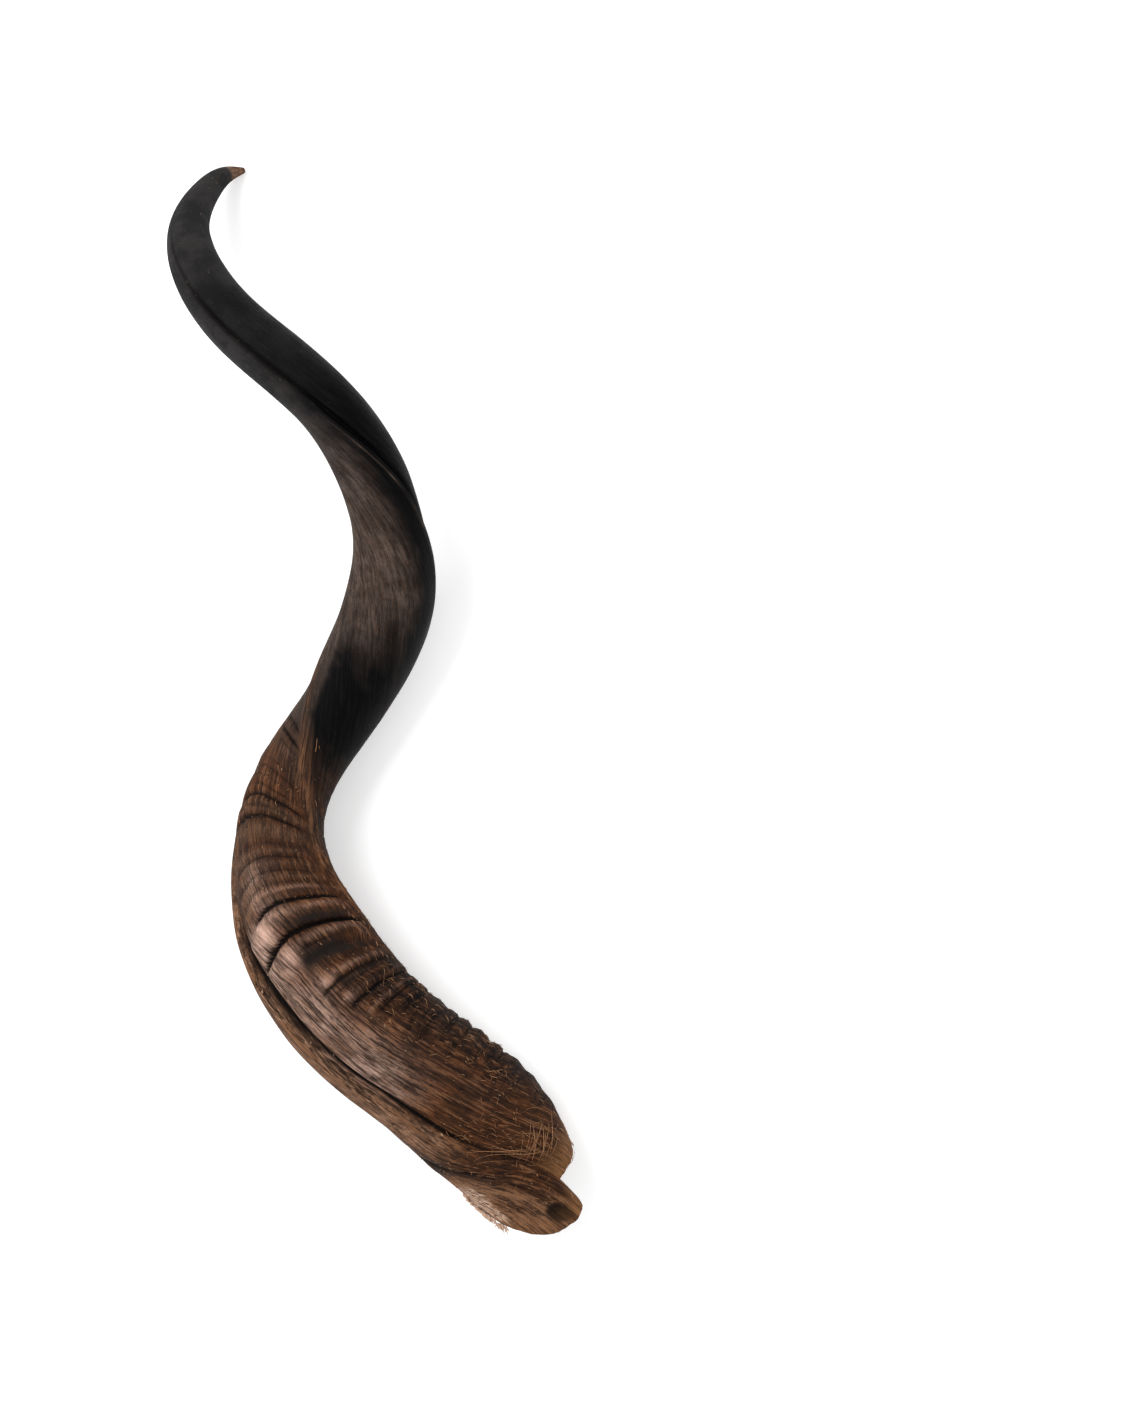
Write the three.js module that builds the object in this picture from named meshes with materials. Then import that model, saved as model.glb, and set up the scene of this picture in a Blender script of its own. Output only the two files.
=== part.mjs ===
// A greater kudu's horn: the hollow sheath of one left-handed spiral horn, lying on its side.
// Millimetres, +Z up. The mouth is at -Y and the tip at +Y; the origin is on the surface that it lies on,
// under the middle of the horn's box. The sheath grew as one piece, so it is one solid: a twisting oval
// with a rolled keel and a crevice beside it, a blunt ridge opposite, growth rings on the lower half, and
// the hollow that the bony core filled.
import * as THREE from "three";

const { clamp, degToRad, euclideanModulo, lerp, smoothstep } = THREE.MathUtils;

// Sections along the horn, from the mouth to the tip.
//   at: the middle of the section
//   half: the plain oval's half-widths, along its long axis and across it
//   turn: the bearing of the long axis round the section, in degrees from straight up, towards the left
//         of someone who looks from the mouth to the tip
//   keel: the bearing of the keel's crest, measured the same way
//   gap: the angle from the crest back to the bottom of the crevice
const SECTIONS = [
  { at: [133, -413, 33.5], half: [41, 38], turn: 62, keel: -50, gap: 24 },
  { at: [113, -370, 37.5], half: [43.5, 39], turn: 66, keel: -12, gap: 24 },
  { at: [84.5, -330, 47.5], half: [50.5, 42], turn: 72, keel: 34, gap: 23 },
  { at: [40.5, -288, 62], half: [48.5, 42], turn: 76, keel: 58, gap: 21 },
  { at: [-7, -247, 72], half: [47, 40], turn: 80, keel: 70, gap: 19 },
  { at: [-44.5, -199, 68], half: [45, 38], turn: 86, keel: 84, gap: 18 },
  { at: [-67.5, -149, 56], half: [39, 35], turn: 104, keel: 110, gap: 17 },
  { at: [-74, -104, 44], half: [34, 31.5], turn: 122, keel: 126, gap: 16 },
  { at: [-60, -59, 36.2], half: [32, 30], turn: 150, keel: 150, gap: 16 },
  { at: [-32, -17, 35], half: [33, 30], turn: 190, keel: 190, gap: 16 },
  { at: [-6, 29, 42], half: [34, 30], turn: 232, keel: 232, gap: 15 },
  { at: [10, 78, 58], half: [32, 29], turn: 264, keel: 264, gap: 14 },
  { at: [10, 126, 82], half: [27, 26.5], turn: 297, keel: 297, gap: 13 },
  { at: [-5, 172, 104], half: [26, 25.5], turn: 342, keel: 342, gap: 12 },
  { at: [-36, 216, 119], half: [24.5, 23], turn: 382, keel: 382, gap: 10 },
  { at: [-77, 252, 119], half: [24, 22.5], turn: 390, keel: 390, gap: 9 },
  { at: [-114, 288, 104], half: [21.5, 21], turn: 394, keel: 394, gap: 9 },
  { at: [-137, 329, 80], half: [18, 18], turn: 404, keel: 404, gap: 9 },
  { at: [-141, 358, 55], half: [14.5, 14.5], turn: 414, keel: 414, gap: 9 },
  { at: [-132, 385, 31], half: [10.5, 10.5], turn: 424, keel: 424, gap: 9 },
  { at: [-119, 401, 13.5], half: [6.5, 6.5], turn: 432, keel: 432, gap: 9 },
  { at: [-107, 406.5, 2.1], half: [2.4, 2.4], turn: 440, keel: 440, gap: 9 },
];

// The keel: how far its roll stands up and how deep the crevice beside it is, by the distance along.
const ROLL_HEIGHT = [
  [0, 2], [60, 4], [130, 6.5], [320, 7], [430, 4.5], [600, 3], [760, 3], [860, 1.5], [930, 0],
];
const CREVICE_DEPTH = [
  [0, 0.5], [60, 1.5], [130, 3.5], [320, 4], [430, 3], [760, 2.5], [850, 2.5], [900, 0],
];
const ROLL_FALL = 28; // degrees over which the roll falls away on its far side
const CREVICE_FALL = 9; // degrees over which the crevice runs out on the ringed side

// The blunt ridge opposite the keel: its bearing past the keel and its height, by the distance along.
const RIDGE_ROUND = [[0, 190], [200, 182], [350, 182], [400, 188], [440, 202], [480, 210], [640, 226]];
const RIDGE_HEIGHT = [[50, 0], [100, 1.5], [200, 2.5], [440, 3], [520, 2], [610, 0]];
const RIDGE_FALL = 13;

// Growth rings on the face between the crevice and the blunt ridge: [distance along, height]. Crests stand
// above the plain oval and grooves below it; two of the folds, at 293 and 315, are far bolder than the rest.
const RINGS = [
  [70, 0], [84, 1.2], [93, -0.8], [104, 1.3], [112, -0.5], [122, 1.3], [134, -1.2], [140, 1.2], [147, -1],
  [158, 1.3], [165, -1], [172, 1.1], [179, -1], [188, 0.5], [194, -0.6], [202, 1], [208, -0.5],
  [216, 1.3], [226, 0.4], [237, -1.6], [243, -0.4], [250, 1.7], [257, -1.1], [264, 2.2], [271, -2.6],
  [280, -3.2], [286, 1], [293, 4.2], [300, -2.6], [307, 2.2], [315, 4.4], [320, 3.4], [326, -1.5],
  [332, 0.6], [340, -0.9], [346, 0.6], [351, -0.6], [357, 0.7], [363, -0.8], [370, 0.6], [376, -0.4],
  [384, 0.9], [393, -1.1], [400, 0.6], [408, -1.1], [417, 0.6], [427, -0.7], [436, 0.5], [445, -0.3],
  [451, 0.6], [456, -0.7], [461, 0.5], [467, -0.6], [474, 0.3], [482, 0],
];
const RING_MIDDLE = -98; // the bearing past the keel where a ring stands nearest the tip
const RING_BOW = 14; // how far a ring bows back towards the mouth
const RING_TURN = 1.2;

// The torn edge of the mouth: [bearing past the keel in degrees, distance along]. The lobe lies between the
// notch at the crevice's end and the frayed edge on the far side.
const RIM = [
  [-180, 58], [-120, 54], [-81, 47], [-40, 44], [-24, 41], [-17, 17], [-9, 13], [10, 8], [33, 6], [47, 8],
  [58, 13], [78, 29], [85, 60], [120, 61], [180, 58],
];
const RIM_END = 150; // the rows of the mesh run level with each other from here on

// The hollow: the wall's thickness at the rim and further in, and where the hollow ends.
const RIM_WALL = 3.2;
const WALL = 6;
const WALL_FULL = 90;
const HOLLOW_END = 640;
const HOLLOW_POWER = 2.2;
const HOLLOW_ROWS = 15;

const FLOOR = 0; // the worn spots that the horn rests on are flat, level with the surface

/** Second derivatives of the natural cubic spline through the values at the knots. */
function bends(knots, values) {
  const n = knots.length;
  const second = new Array(n).fill(0);
  const upper = new Array(n).fill(0);
  for (let i = 1; i < n - 1; i++) {
    const before = knots[i] - knots[i - 1];
    const after = knots[i + 1] - knots[i];
    const jump = (values[i + 1] - values[i]) / after - (values[i] - values[i - 1]) / before;
    const pivot = 2 * (before + after) - before * upper[i - 1];
    upper[i] = after / pivot;
    second[i] = (6 * jump - before * second[i - 1]) / pivot;
  }
  for (let i = n - 2; i > 0; i--) second[i] -= upper[i] * second[i + 1];
  return second;
}

/** The natural cubic spline through the values at the knots, as a function of the distance along. */
function spline(knots, values) {
  const second = bends(knots, values);
  return (along) => {
    let i = 0;
    while (i < knots.length - 2 && along > knots[i + 1]) i++;
    const span = knots[i + 1] - knots[i];
    const b = (along - knots[i]) / span;
    const a = 1 - b;
    const curve = ((a ** 3 - a) * second[i] + (b ** 3 - b) * second[i + 1]) * (span ** 2 / 6);
    return a * values[i] + b * values[i + 1] + curve;
  };
}

/** Straight lines through [place, value] pairs, level beyond both ends. */
function lines(pairs) {
  return (x) => {
    const i = pairs.findIndex(([place]) => place > x);
    if (i === 0) return pairs[0][1];
    if (i < 0) return pairs.at(-1)[1];
    const [[x0, y0], [x1, y1]] = [pairs[i - 1], pairs[i]];
    return lerp(y0, y1, (x - x0) / (x1 - x0));
  };
}

const knots = [0];
for (let i = 1; i < SECTIONS.length; i++) {
  const step = new THREE.Vector3(...SECTIONS[i].at).distanceTo(new THREE.Vector3(...SECTIONS[i - 1].at));
  knots.push(knots[i - 1] + step);
}
const LENGTH = knots.at(-1);
const through = (pick) => spline(knots, SECTIONS.map(pick));
const middle = [0, 1, 2].map((axis) => through((s) => s.at[axis]));
const longHalf = through((s) => s.half[0]);
const shortHalf = through((s) => s.half[1]);
const turnBearing = through((s) => s.turn);
const keelBearing = through((s) => s.keel);
const creviceGap = through((s) => s.gap);
const rollHeight = lines(ROLL_HEIGHT);
const creviceDepth = lines(CREVICE_DEPTH);
const ridgeRound = lines(RIDGE_ROUND);
const ridgeHeight = lines(RIDGE_HEIGHT);
const ringHeight = lines(RINGS);
const rimStart = lines(RIM);

const centre = (along) => new THREE.Vector3(...middle.map((f) => f(along)));
const wrap = (degrees) => euclideanModulo(degrees + 180, 360) - 180;
const bell = (x, width) => Math.exp(-((x / width) ** 2));

/** The directions up and left, square to the horn's line, at a distance along it. */
function axes(along) {
  const reach = 0.5;
  const forward = centre(along + reach).sub(centre(along - reach)).normalize();
  const up = new THREE.Vector3(0, 0, 1).addScaledVector(forward, -forward.z).normalize();
  const left = new THREE.Vector3().crossVectors(up, forward);
  return { up, left };
}

/** A point at a radius from the horn's line; round is the angle past the keel, in degrees. */
function place(along, round, radius) {
  const { up, left } = axes(along);
  const bearing = degToRad(keelBearing(along) + round);
  return centre(along)
    .addScaledVector(up, radius * Math.cos(bearing))
    .addScaledVector(left, radius * Math.sin(bearing));
}

function ovalRadius(along, round) {
  const angle = degToRad(keelBearing(along) + round - turnBearing(along));
  const a = longHalf(along);
  const b = shortHalf(along);
  return (a * b) / Math.hypot(b * Math.cos(angle), a * Math.sin(angle));
}

/** The roll of the keel and the crevice beside it. */
function keelRelief(along, round) {
  const gap = creviceGap(along);
  const roll = rollHeight(along);
  const depth = creviceDepth(along);
  if (round >= 0) return roll * bell(round, ROLL_FALL);
  if (round >= -gap) return lerp(roll, -depth, smoothstep(-round / gap, 0.2, 1));
  return -depth * bell(round + gap, CREVICE_FALL);
}

/** How far back towards the mouth the rings lie at a bearing past the keel. */
function ringBow(round) {
  const turned = clamp(RING_TURN * wrap(round - RING_MIDDLE), -180, 180);
  return RING_BOW * (1 - Math.cos(degToRad(turned)));
}

/**
 * How strongly the rings show: whole on the face, faint on the side that the horn lies on. Below the folds
 * they notch the blunt ridge too; above them they run out before it.
 */
function ringStrength(along, round) {
  const nearKeel = smoothstep(-round, 28, along < 240 ? 80 : 50);
  const nearRidge = 1 - 0.8 * smoothstep(-round, 150, 178) * smoothstep(along, 215, 250);
  const fine = along > 445 ? smoothstep(-round, 95, 120) : 1;
  const face = round < 0 ? nearKeel * nearRidge * fine : 0;
  const underside = 0.25 * smoothstep(round, 40, 90) * (1 - smoothstep(along, 420, 470));
  return Math.max(face, underside);
}

function relief(along, round) {
  const rings = ringHeight(along + ringBow(round)) * ringStrength(along, round);
  const ridge = ridgeHeight(along) * bell(wrap(round - ridgeRound(along)), RIDGE_FALL);
  return keelRelief(along, round) + ridge + rings;
}

const outside = (along, round) => ovalRadius(along, round) + relief(along, round);

function inside(along, round) {
  const wall = lerp(RIM_WALL, WALL, smoothstep(along, rimStart(round), WALL_FULL));
  const taper = 1 - clamp(along / HOLLOW_END, 0, 1) ** HOLLOW_POWER;
  return (ovalRadius(along, round) - wall) * taper;
}

/** The bearings past the keel that the mesh's columns follow; four of them keep to the crevice. */
function columnsAt(along) {
  const gap = creviceGap(along);
  const ringed = [-180, -168, -156, -144, -132, -120, -108, -96, -84, -72, -60, -48, -38];
  const crevice = [-gap - 6, -gap, 5 - gap, -0.4 * gap];
  const far = [0, 10, 22, 34, 47, 62, 78, 86, 102, 118, 134, 150, 165];
  return [...ringed, ...crevice, ...far];
}
const COLUMNS = columnsAt(0).length;

/** Rows of the mesh: shares of the way from the rim up to RIM_END, then distances that follow the rings. */
const firstRows = [0, 0.06, 0.14, 0.24, 0.34, 0.44, 0.54, 0.64, 0.74, 0.84, 0.93];
const ringRows = RINGS.map(([along]) => along).filter((along) => along > RIM_END);
const PLAIN_ROWS = 36;
const plainRows = [];
for (let row = 1; row <= PLAIN_ROWS; row++) plainRows.push(lerp(ringRows.at(-1), LENGTH, row / PLAIN_ROWS));

function columnRows(column) {
  const round = columnsAt(RIM_END)[column];
  const rim = rimStart(columnsAt(0)[column]);
  const bow = (along) => ringBow(round) * smoothstep(along, 100, 200) * (1 - smoothstep(along, 460, 560));
  const last = ringRows[0] - bow(ringRows[0]);
  const first = firstRows.map((share) => lerp(rim, last, share));
  return [...first, ...[...ringRows, ...plainRows].map((along) => along - bow(along))];
}

const positions = [];
const index = [];
const addPoint = (point) => {
  positions.push(point.x, point.y, Math.max(point.z, FLOOR));
};
const rowsOf = [];
for (let column = 0; column < COLUMNS; column++) rowsOf.push(columnRows(column));
const ROWS = rowsOf[0].length;

for (let row = 0; row < ROWS; row++)
  for (let column = 0; column < COLUMNS; column++) {
    const along = rowsOf[column][row];
    const round = columnsAt(along)[column];
    addPoint(place(along, round, outside(along, round)));
  }
for (let row = 0; row < HOLLOW_ROWS; row++)
  for (let column = 0; column < COLUMNS; column++) {
    const along = lerp(rowsOf[column][0], HOLLOW_END, (row / HOLLOW_ROWS) ** 1.1);
    const round = columnsAt(along)[column];
    addPoint(place(along, round, inside(along, round)));
  }
const tip = positions.length / 3;
addPoint(centre(LENGTH));
const hollowEnd = tip + 1;
addPoint(centre(HOLLOW_END));

const at = (row, column) => row * COLUMNS + (column % COLUMNS);

/** Two triangles between a pair of rows; the first row is nearer the mouth, seen from outside. */
function band(near, far) {
  for (let column = 0; column < COLUMNS; column++) {
    index.push(at(near, column), at(far, column), at(near, column + 1));
    index.push(at(near, column + 1), at(far, column), at(far, column + 1));
  }
}
for (let row = 0; row < ROWS - 1; row++) band(row, row + 1);
for (let row = ROWS; row < ROWS + HOLLOW_ROWS - 1; row++) band(row + 1, row);
band(ROWS, 0);
for (let column = 0; column < COLUMNS; column++) {
  index.push(tip, at(ROWS - 1, column + 1), at(ROWS - 1, column));
  const last = ROWS + HOLLOW_ROWS - 1;
  index.push(hollowEnd, at(last, column), at(last, column + 1));
}

const geometry = new THREE.BufferGeometry();
geometry.setAttribute("position", new THREE.Float32BufferAttribute(positions, 3));
geometry.setIndex(index);
geometry.computeVertexNormals();
const horn = new THREE.Mesh(
  geometry,
  new THREE.MeshStandardMaterial({ color: 0x4a3527, roughness: 0.62, metalness: 0 }),
);
horn.name = "horn";
const group = new THREE.Group();
group.add(horn);
export default group;
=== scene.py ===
"""A greater kudu's horn: the hollow sheath of one spiral horn, lying on its side on a pale floor.

Metres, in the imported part's frame: +Y from the mouth to the tip, +Z up. Sizes along and round the horn are
given in millimetres and degrees, as a horn is measured, and turned into metres where a vertex is placed.
b is a bearing past the keel's crest: the crevice and the ringed face are at negative degrees.
"""

import logging
import math
from dataclasses import dataclass, field
from enum import Enum

import bpy
import numpy as np
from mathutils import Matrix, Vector


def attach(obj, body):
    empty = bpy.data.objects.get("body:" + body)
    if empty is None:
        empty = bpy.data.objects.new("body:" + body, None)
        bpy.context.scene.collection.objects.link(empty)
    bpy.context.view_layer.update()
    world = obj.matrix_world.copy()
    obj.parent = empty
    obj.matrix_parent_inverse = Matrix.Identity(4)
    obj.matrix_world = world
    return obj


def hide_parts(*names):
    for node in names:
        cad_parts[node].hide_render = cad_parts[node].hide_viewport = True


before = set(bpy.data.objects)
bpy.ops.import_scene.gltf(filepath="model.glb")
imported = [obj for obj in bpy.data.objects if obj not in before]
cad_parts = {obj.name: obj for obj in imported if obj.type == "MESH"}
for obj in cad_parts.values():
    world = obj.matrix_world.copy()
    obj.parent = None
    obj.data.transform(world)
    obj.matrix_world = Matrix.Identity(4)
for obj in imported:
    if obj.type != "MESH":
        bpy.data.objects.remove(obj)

logging.basicConfig(level=logging.INFO, format="%(message)s")
LOG = logging.getLogger("kudu_horn")

MM = 0.001
BODY = "root"
NODE = "horn"
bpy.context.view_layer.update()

Array = np.ndarray
Pairs = list[tuple[float, float]]
Colour = tuple[float, float, float]


class Layer(Enum):
    """The masks that the sheath's mesh carries for its finish."""

    BLACK = "black"
    # Painted highlight on the folds and along the keel's edge.
    PAINTED_HIGHLIGHT = "crest"
    # Painted shade in the crevice, the grooves, the wrinkles and the lobe's hollow.
    RECESS_SHADE = "recess"
    AMBER = "amber"
    RIDGE = "ridge"
    GREY = "grey"
    FACE = "face"
    KEEL = "keel"
    SHADE = "shade"
    ROUGH = "rough"
    ASH = "ash"
    FRAY = "fray"
    RINGED = "ringed"
    BORE = "bore"


def smooth(x: Array, low: float | Array, high: float | Array) -> Array:
    """A smooth step from 0 at low to 1 at high.

    Args:
        x: The values to step over.
        low: Where the step starts.
        high: Where the step ends.

    Returns:
        The step at each value, from 0 to 1.
    """
    t = np.clip((np.asarray(x, float) - low) / (high - low), 0.0, 1.0)
    return t * t * (3.0 - 2.0 * t)


def stretch(
    x: Array, start: float | Array, whole: float | Array, fade: float | Array, end: float | Array
) -> Array:
    """A stretch with soft ends.

    Args:
        x: The values to step over.
        start: Where it starts.
        whole: Where it is whole.
        fade: Where it starts to fade.
        end: Where it has ended.

    Returns:
        1 inside the stretch, 0 outside it, smooth between.
    """
    return smooth(x, start, whole) * (1 - smooth(x, fade, end))


def bell(x: Array, width: float | Array) -> Array:
    """A bell curve of height 1 round 0.

    Args:
        x: Distances from the middle of the bell.
        width: Where the bell has fallen to 1/e.

    Returns:
        The height at each distance.
    """
    return np.exp(-((np.asarray(x, float) / width) ** 2))


def wrap(degrees: Array) -> Array:
    """Turns angles into the range from -180 to 180.

    Args:
        degrees: Angles in degrees.

    Returns:
        The same directions between -180 and 180.
    """
    return (np.asarray(degrees, float) + 180.0) % 360.0 - 180.0


def lines(pairs: Pairs, x: Array) -> Array:
    """Straight lines through (place, value) pairs, level beyond both ends.

    Args:
        pairs: The points that the lines join, in order.
        x: Where the lines are read.

    Returns:
        The value at each place.
    """
    return np.interp(x, [p[0] for p in pairs], [p[1] for p in pairs])


class Spline:
    """A natural cubic spline through values at knots."""

    def __init__(self, knots: Array, values: Array) -> None:
        """Works out the bends at the knots.

        Args:
            knots: The places of the values, in order.
            values: One value for each knot.
        """
        self.knots = np.asarray(knots, float)
        self.values = np.asarray(values, float)
        spans = np.diff(self.knots)
        count = len(self.knots)
        matrix = np.eye(count)
        jumps = np.zeros(count)
        slopes = np.diff(self.values) / spans
        for i in range(1, count - 1):
            matrix[i, i - 1 : i + 2] = spans[i - 1], 2 * (spans[i - 1] + spans[i]), spans[i]
            jumps[i] = 6 * (slopes[i] - slopes[i - 1])
        self.bends = np.linalg.solve(matrix, jumps)

    def __call__(self, x: Array) -> Array:
        """Reads the spline.

        Args:
            x: Where it is read.

        Returns:
            The value at each place.
        """
        x = np.asarray(x, float)
        i = np.clip(np.searchsorted(self.knots, x) - 1, 0, len(self.knots) - 2)
        span = self.knots[i + 1] - self.knots[i]
        b = (x - self.knots[i]) / span
        a = 1 - b
        curve = ((a**3 - a) * self.bends[i] + (b**3 - b) * self.bends[i + 1]) * span**2 / 6
        return a * self.values[i] + b * self.values[i + 1] + curve


class Grain:
    """Smooth random relief over the skin, from -1 to 1, with no seam round the horn."""

    LEAD = 60.0
    REACH = 1300.0
    SPARE_ROWS = 4

    def __init__(self, seed: int, step: float, columns: int) -> None:
        """Draws the random grid.

        Args:
            seed: Seed of the random numbers.
            step: Distance along the horn between grid values, in millimetres.
            columns: Grid values round the horn.
        """
        self.step = step
        self.columns = columns
        rows = int(self.REACH / step) + self.SPARE_ROWS
        self.grid = np.random.default_rng(seed).uniform(-1, 1, (rows, columns))

    def __call__(self, along: Array, around: Array) -> Array:
        """Reads the relief.

        Args:
            along: Distances along the horn, in millimetres.
            around: Bearings round the horn, in degrees.

        Returns:
            The relief at each place.
        """
        u = (np.asarray(along, float) + self.LEAD) / self.step
        v = (np.asarray(around, float) % 360.0) / 360.0 * self.columns
        i = np.clip(np.floor(u).astype(int), 0, self.grid.shape[0] - 2)
        j = np.floor(v).astype(int) % self.columns
        s = smooth(u - i, 0.0, 1.0)
        t = smooth(v - np.floor(v), 0.0, 1.0)
        k = (j + 1) % self.columns
        near = self.grid[i, j] * (1 - t) + self.grid[i, k] * t
        far = self.grid[i + 1, j] * (1 - t) + self.grid[i + 1, k] * t
        return near * (1 - s) + far * s


@dataclass
class HornLine:
    """The horn's line, the oval round it, and the bearings of the keel.

    Each section holds the middle's x, y and z, the oval's long and short half-width, the bearing of the long
    axis, the keel's bearing and the gap from the keel's crest back to the crevice. Bearings are in degrees
    from straight up, towards the left of someone who looks from the mouth to the tip.
    """

    sections: list[tuple[float, ...]] = field(
        default_factory=lambda: [
            (133, -413, 33.5, 41, 38, 62, -50, 24),
            (113, -370, 37.5, 43.5, 39, 66, -12, 24),
            (84.5, -330, 47.5, 50.5, 42, 72, 34, 23),
            (40.5, -288, 62, 48.5, 42, 76, 58, 21),
            (-7, -247, 72, 47, 40, 80, 70, 19),
            (-44.5, -199, 68, 45, 38, 86, 84, 18),
            (-67.5, -149, 56, 39, 35, 104, 110, 17),
            (-74, -104, 44, 34, 31.5, 122, 126, 16),
            (-60, -59, 36.2, 32, 30, 150, 150, 16),
            (-32, -17, 35, 33, 30, 190, 190, 16),
            (-6, 29, 42, 34, 30, 232, 232, 15),
            (10, 78, 58, 32, 29, 264, 264, 14),
            (10, 126, 82, 27, 26.5, 297, 297, 13),
            (-5, 172, 104, 26, 25.5, 342, 342, 12),
            (-36, 216, 119, 24.5, 23, 382, 382, 10),
            (-77, 252, 119, 24, 22.5, 390, 390, 9),
            (-114, 288, 104, 21.5, 21, 394, 394, 9),
            (-137, 329, 80, 18, 18, 404, 404, 9),
            (-141, 358, 55, 14.5, 14.5, 414, 414, 9),
            (-132, 385, 31, 10.5, 10.5, 424, 424, 9),
            (-119, 401, 13.5, 6.5, 6.5, 432, 432, 9),
            (-107, 406.5, 2.1, 2.4, 2.4, 440, 440, 9),
        ]
    )

    def __post_init__(self) -> None:
        """Lays the splines through the sections."""
        table = np.array(self.sections, float)
        steps = np.linalg.norm(np.diff(table[:, :3], axis=0), axis=1)
        knots = np.concatenate([[0.0], np.cumsum(steps)])
        self.length = float(knots[-1])
        self.middle = [Spline(knots, table[:, axis]) for axis in range(3)]
        self.long_half, self.short_half = Spline(knots, table[:, 3]), Spline(knots, table[:, 4])
        self.turn, self.keel, self.gap = (Spline(knots, table[:, c]) for c in (5, 6, 7))

    def centre(self, along: Array) -> Array:
        """The middle of the horn.

        Args:
            along: Distances along the horn, in millimetres.

        Returns:
            Points in millimetres, one row each.
        """
        return np.stack([f(along) for f in self.middle], -1)

    def axes(self, along: Array) -> tuple[Array, Array, Array]:
        """The directions forward, up and left at distances along the horn.

        Args:
            along: Distances along the horn, in millimetres.

        Returns:
            Unit vectors forward, up and left.
        """
        forward = self.centre(along + 0.5) - self.centre(along - 0.5)
        forward /= np.linalg.norm(forward, axis=-1, keepdims=True)
        up = np.zeros_like(forward)
        up[..., 2] = 1.0
        up -= forward * forward[..., 2:3]
        up /= np.linalg.norm(up, axis=-1, keepdims=True)
        return forward, up, np.cross(up, forward)

    def oval(self, along: Array, past_keel: Array) -> Array:
        """The plain oval's radius.

        Args:
            along: Distances along the horn, in millimetres.
            past_keel: Bearings past the keel's crest, in degrees.

        Returns:
            Radii in millimetres.
        """
        angle = np.radians(self.keel(along) + past_keel - self.turn(along))
        a, b = self.long_half(along), self.short_half(along)
        return a * b / np.hypot(b * np.cos(angle), a * np.sin(angle))

    def place(self, along: Array, past_keel: Array, radius: Array) -> Array:
        """Points at a radius from the horn's line.

        Args:
            along: Distances along the horn, in millimetres.
            past_keel: Bearings past the keel's crest, in degrees.
            radius: Radii in millimetres.

        Returns:
            Points in millimetres, one row each.
        """
        _, up, left = self.axes(along)
        bearing = np.radians(self.keel(along) + past_keel)[..., None]
        r = np.asarray(radius)[..., None]
        return self.centre(along) + r * (up * np.cos(bearing) + left * np.sin(bearing))


@dataclass(frozen=True)
class Fold:
    """One bold fold across the ringed face: steep towards the tip, long towards the mouth."""

    at: float
    height: float
    start: float
    end: float
    steep: float
    long: float
    # bulb and glow: the bearing and strength of the painted highlight on the fold's bulb.
    bulb: float = -70.0
    glow: float = 0.3

    def painted_highlight(self, level: Array, b: Array) -> Array:
        """The fold's painted highlight: brightest on its bulb near the keel, with a thin painted highlight
        along its crest beyond.

        Args:
            level: Distances along, levelled to the rings' bow, in millimetres.
            b: Bearings past the keel, in degrees.

        Returns:
            Shares from 0 to 1.
        """
        ends = stretch(-b, -self.start - 4, -self.start + 26, -self.end - 34, -self.end)
        off = level - self.at
        # A thin painted highlight along the fold's crest and a broad one on its bulb.
        crest = bell(off + 2.5, 0.8 + 0.12 * self.long) * 0.2
        bulb = bell(off + 0.36 * self.long, 0.48 * self.long) * bell(b - self.bulb, 11)
        return np.maximum(crest, self.glow * bulb) * ends

    def rise(self, level: Array, b: Array) -> Array:
        """The fold's height.

        Args:
            level: Distances along, levelled to the rings' bow, in millimetres.
            b: Bearings past the keel, in degrees.

        Returns:
            Heights in millimetres.
        """
        off = level - self.at
        tipward = 1 - smooth(off, 0, self.steep)
        mouthward = np.cos(0.5 * math.pi * np.clip(-off / self.long, 0, 1))
        ends = stretch(-b, -self.start, -self.start + 26, -self.end - 34, -self.end)
        return self.height * np.where(off > 0, tipward, mouthward) * ends


@dataclass(frozen=True)
class Groove:
    """One dark groove across the ringed face."""

    at: float
    depth: float
    start: float
    end: float
    width: float

    def show(self, level: Array, b: Array) -> Array:
        """How much of the groove is at each place, from 0 to 1.

        Args:
            level: Distances along, levelled to the rings' bow, in millimetres.
            b: Bearings past the keel, in degrees.

        Returns:
            The groove's share.
        """
        ends = stretch(-b, -self.start - 6, -self.start + 14, -self.end - 16, -self.end + 6)
        return bell(level - self.at, self.width) * ends


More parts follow.
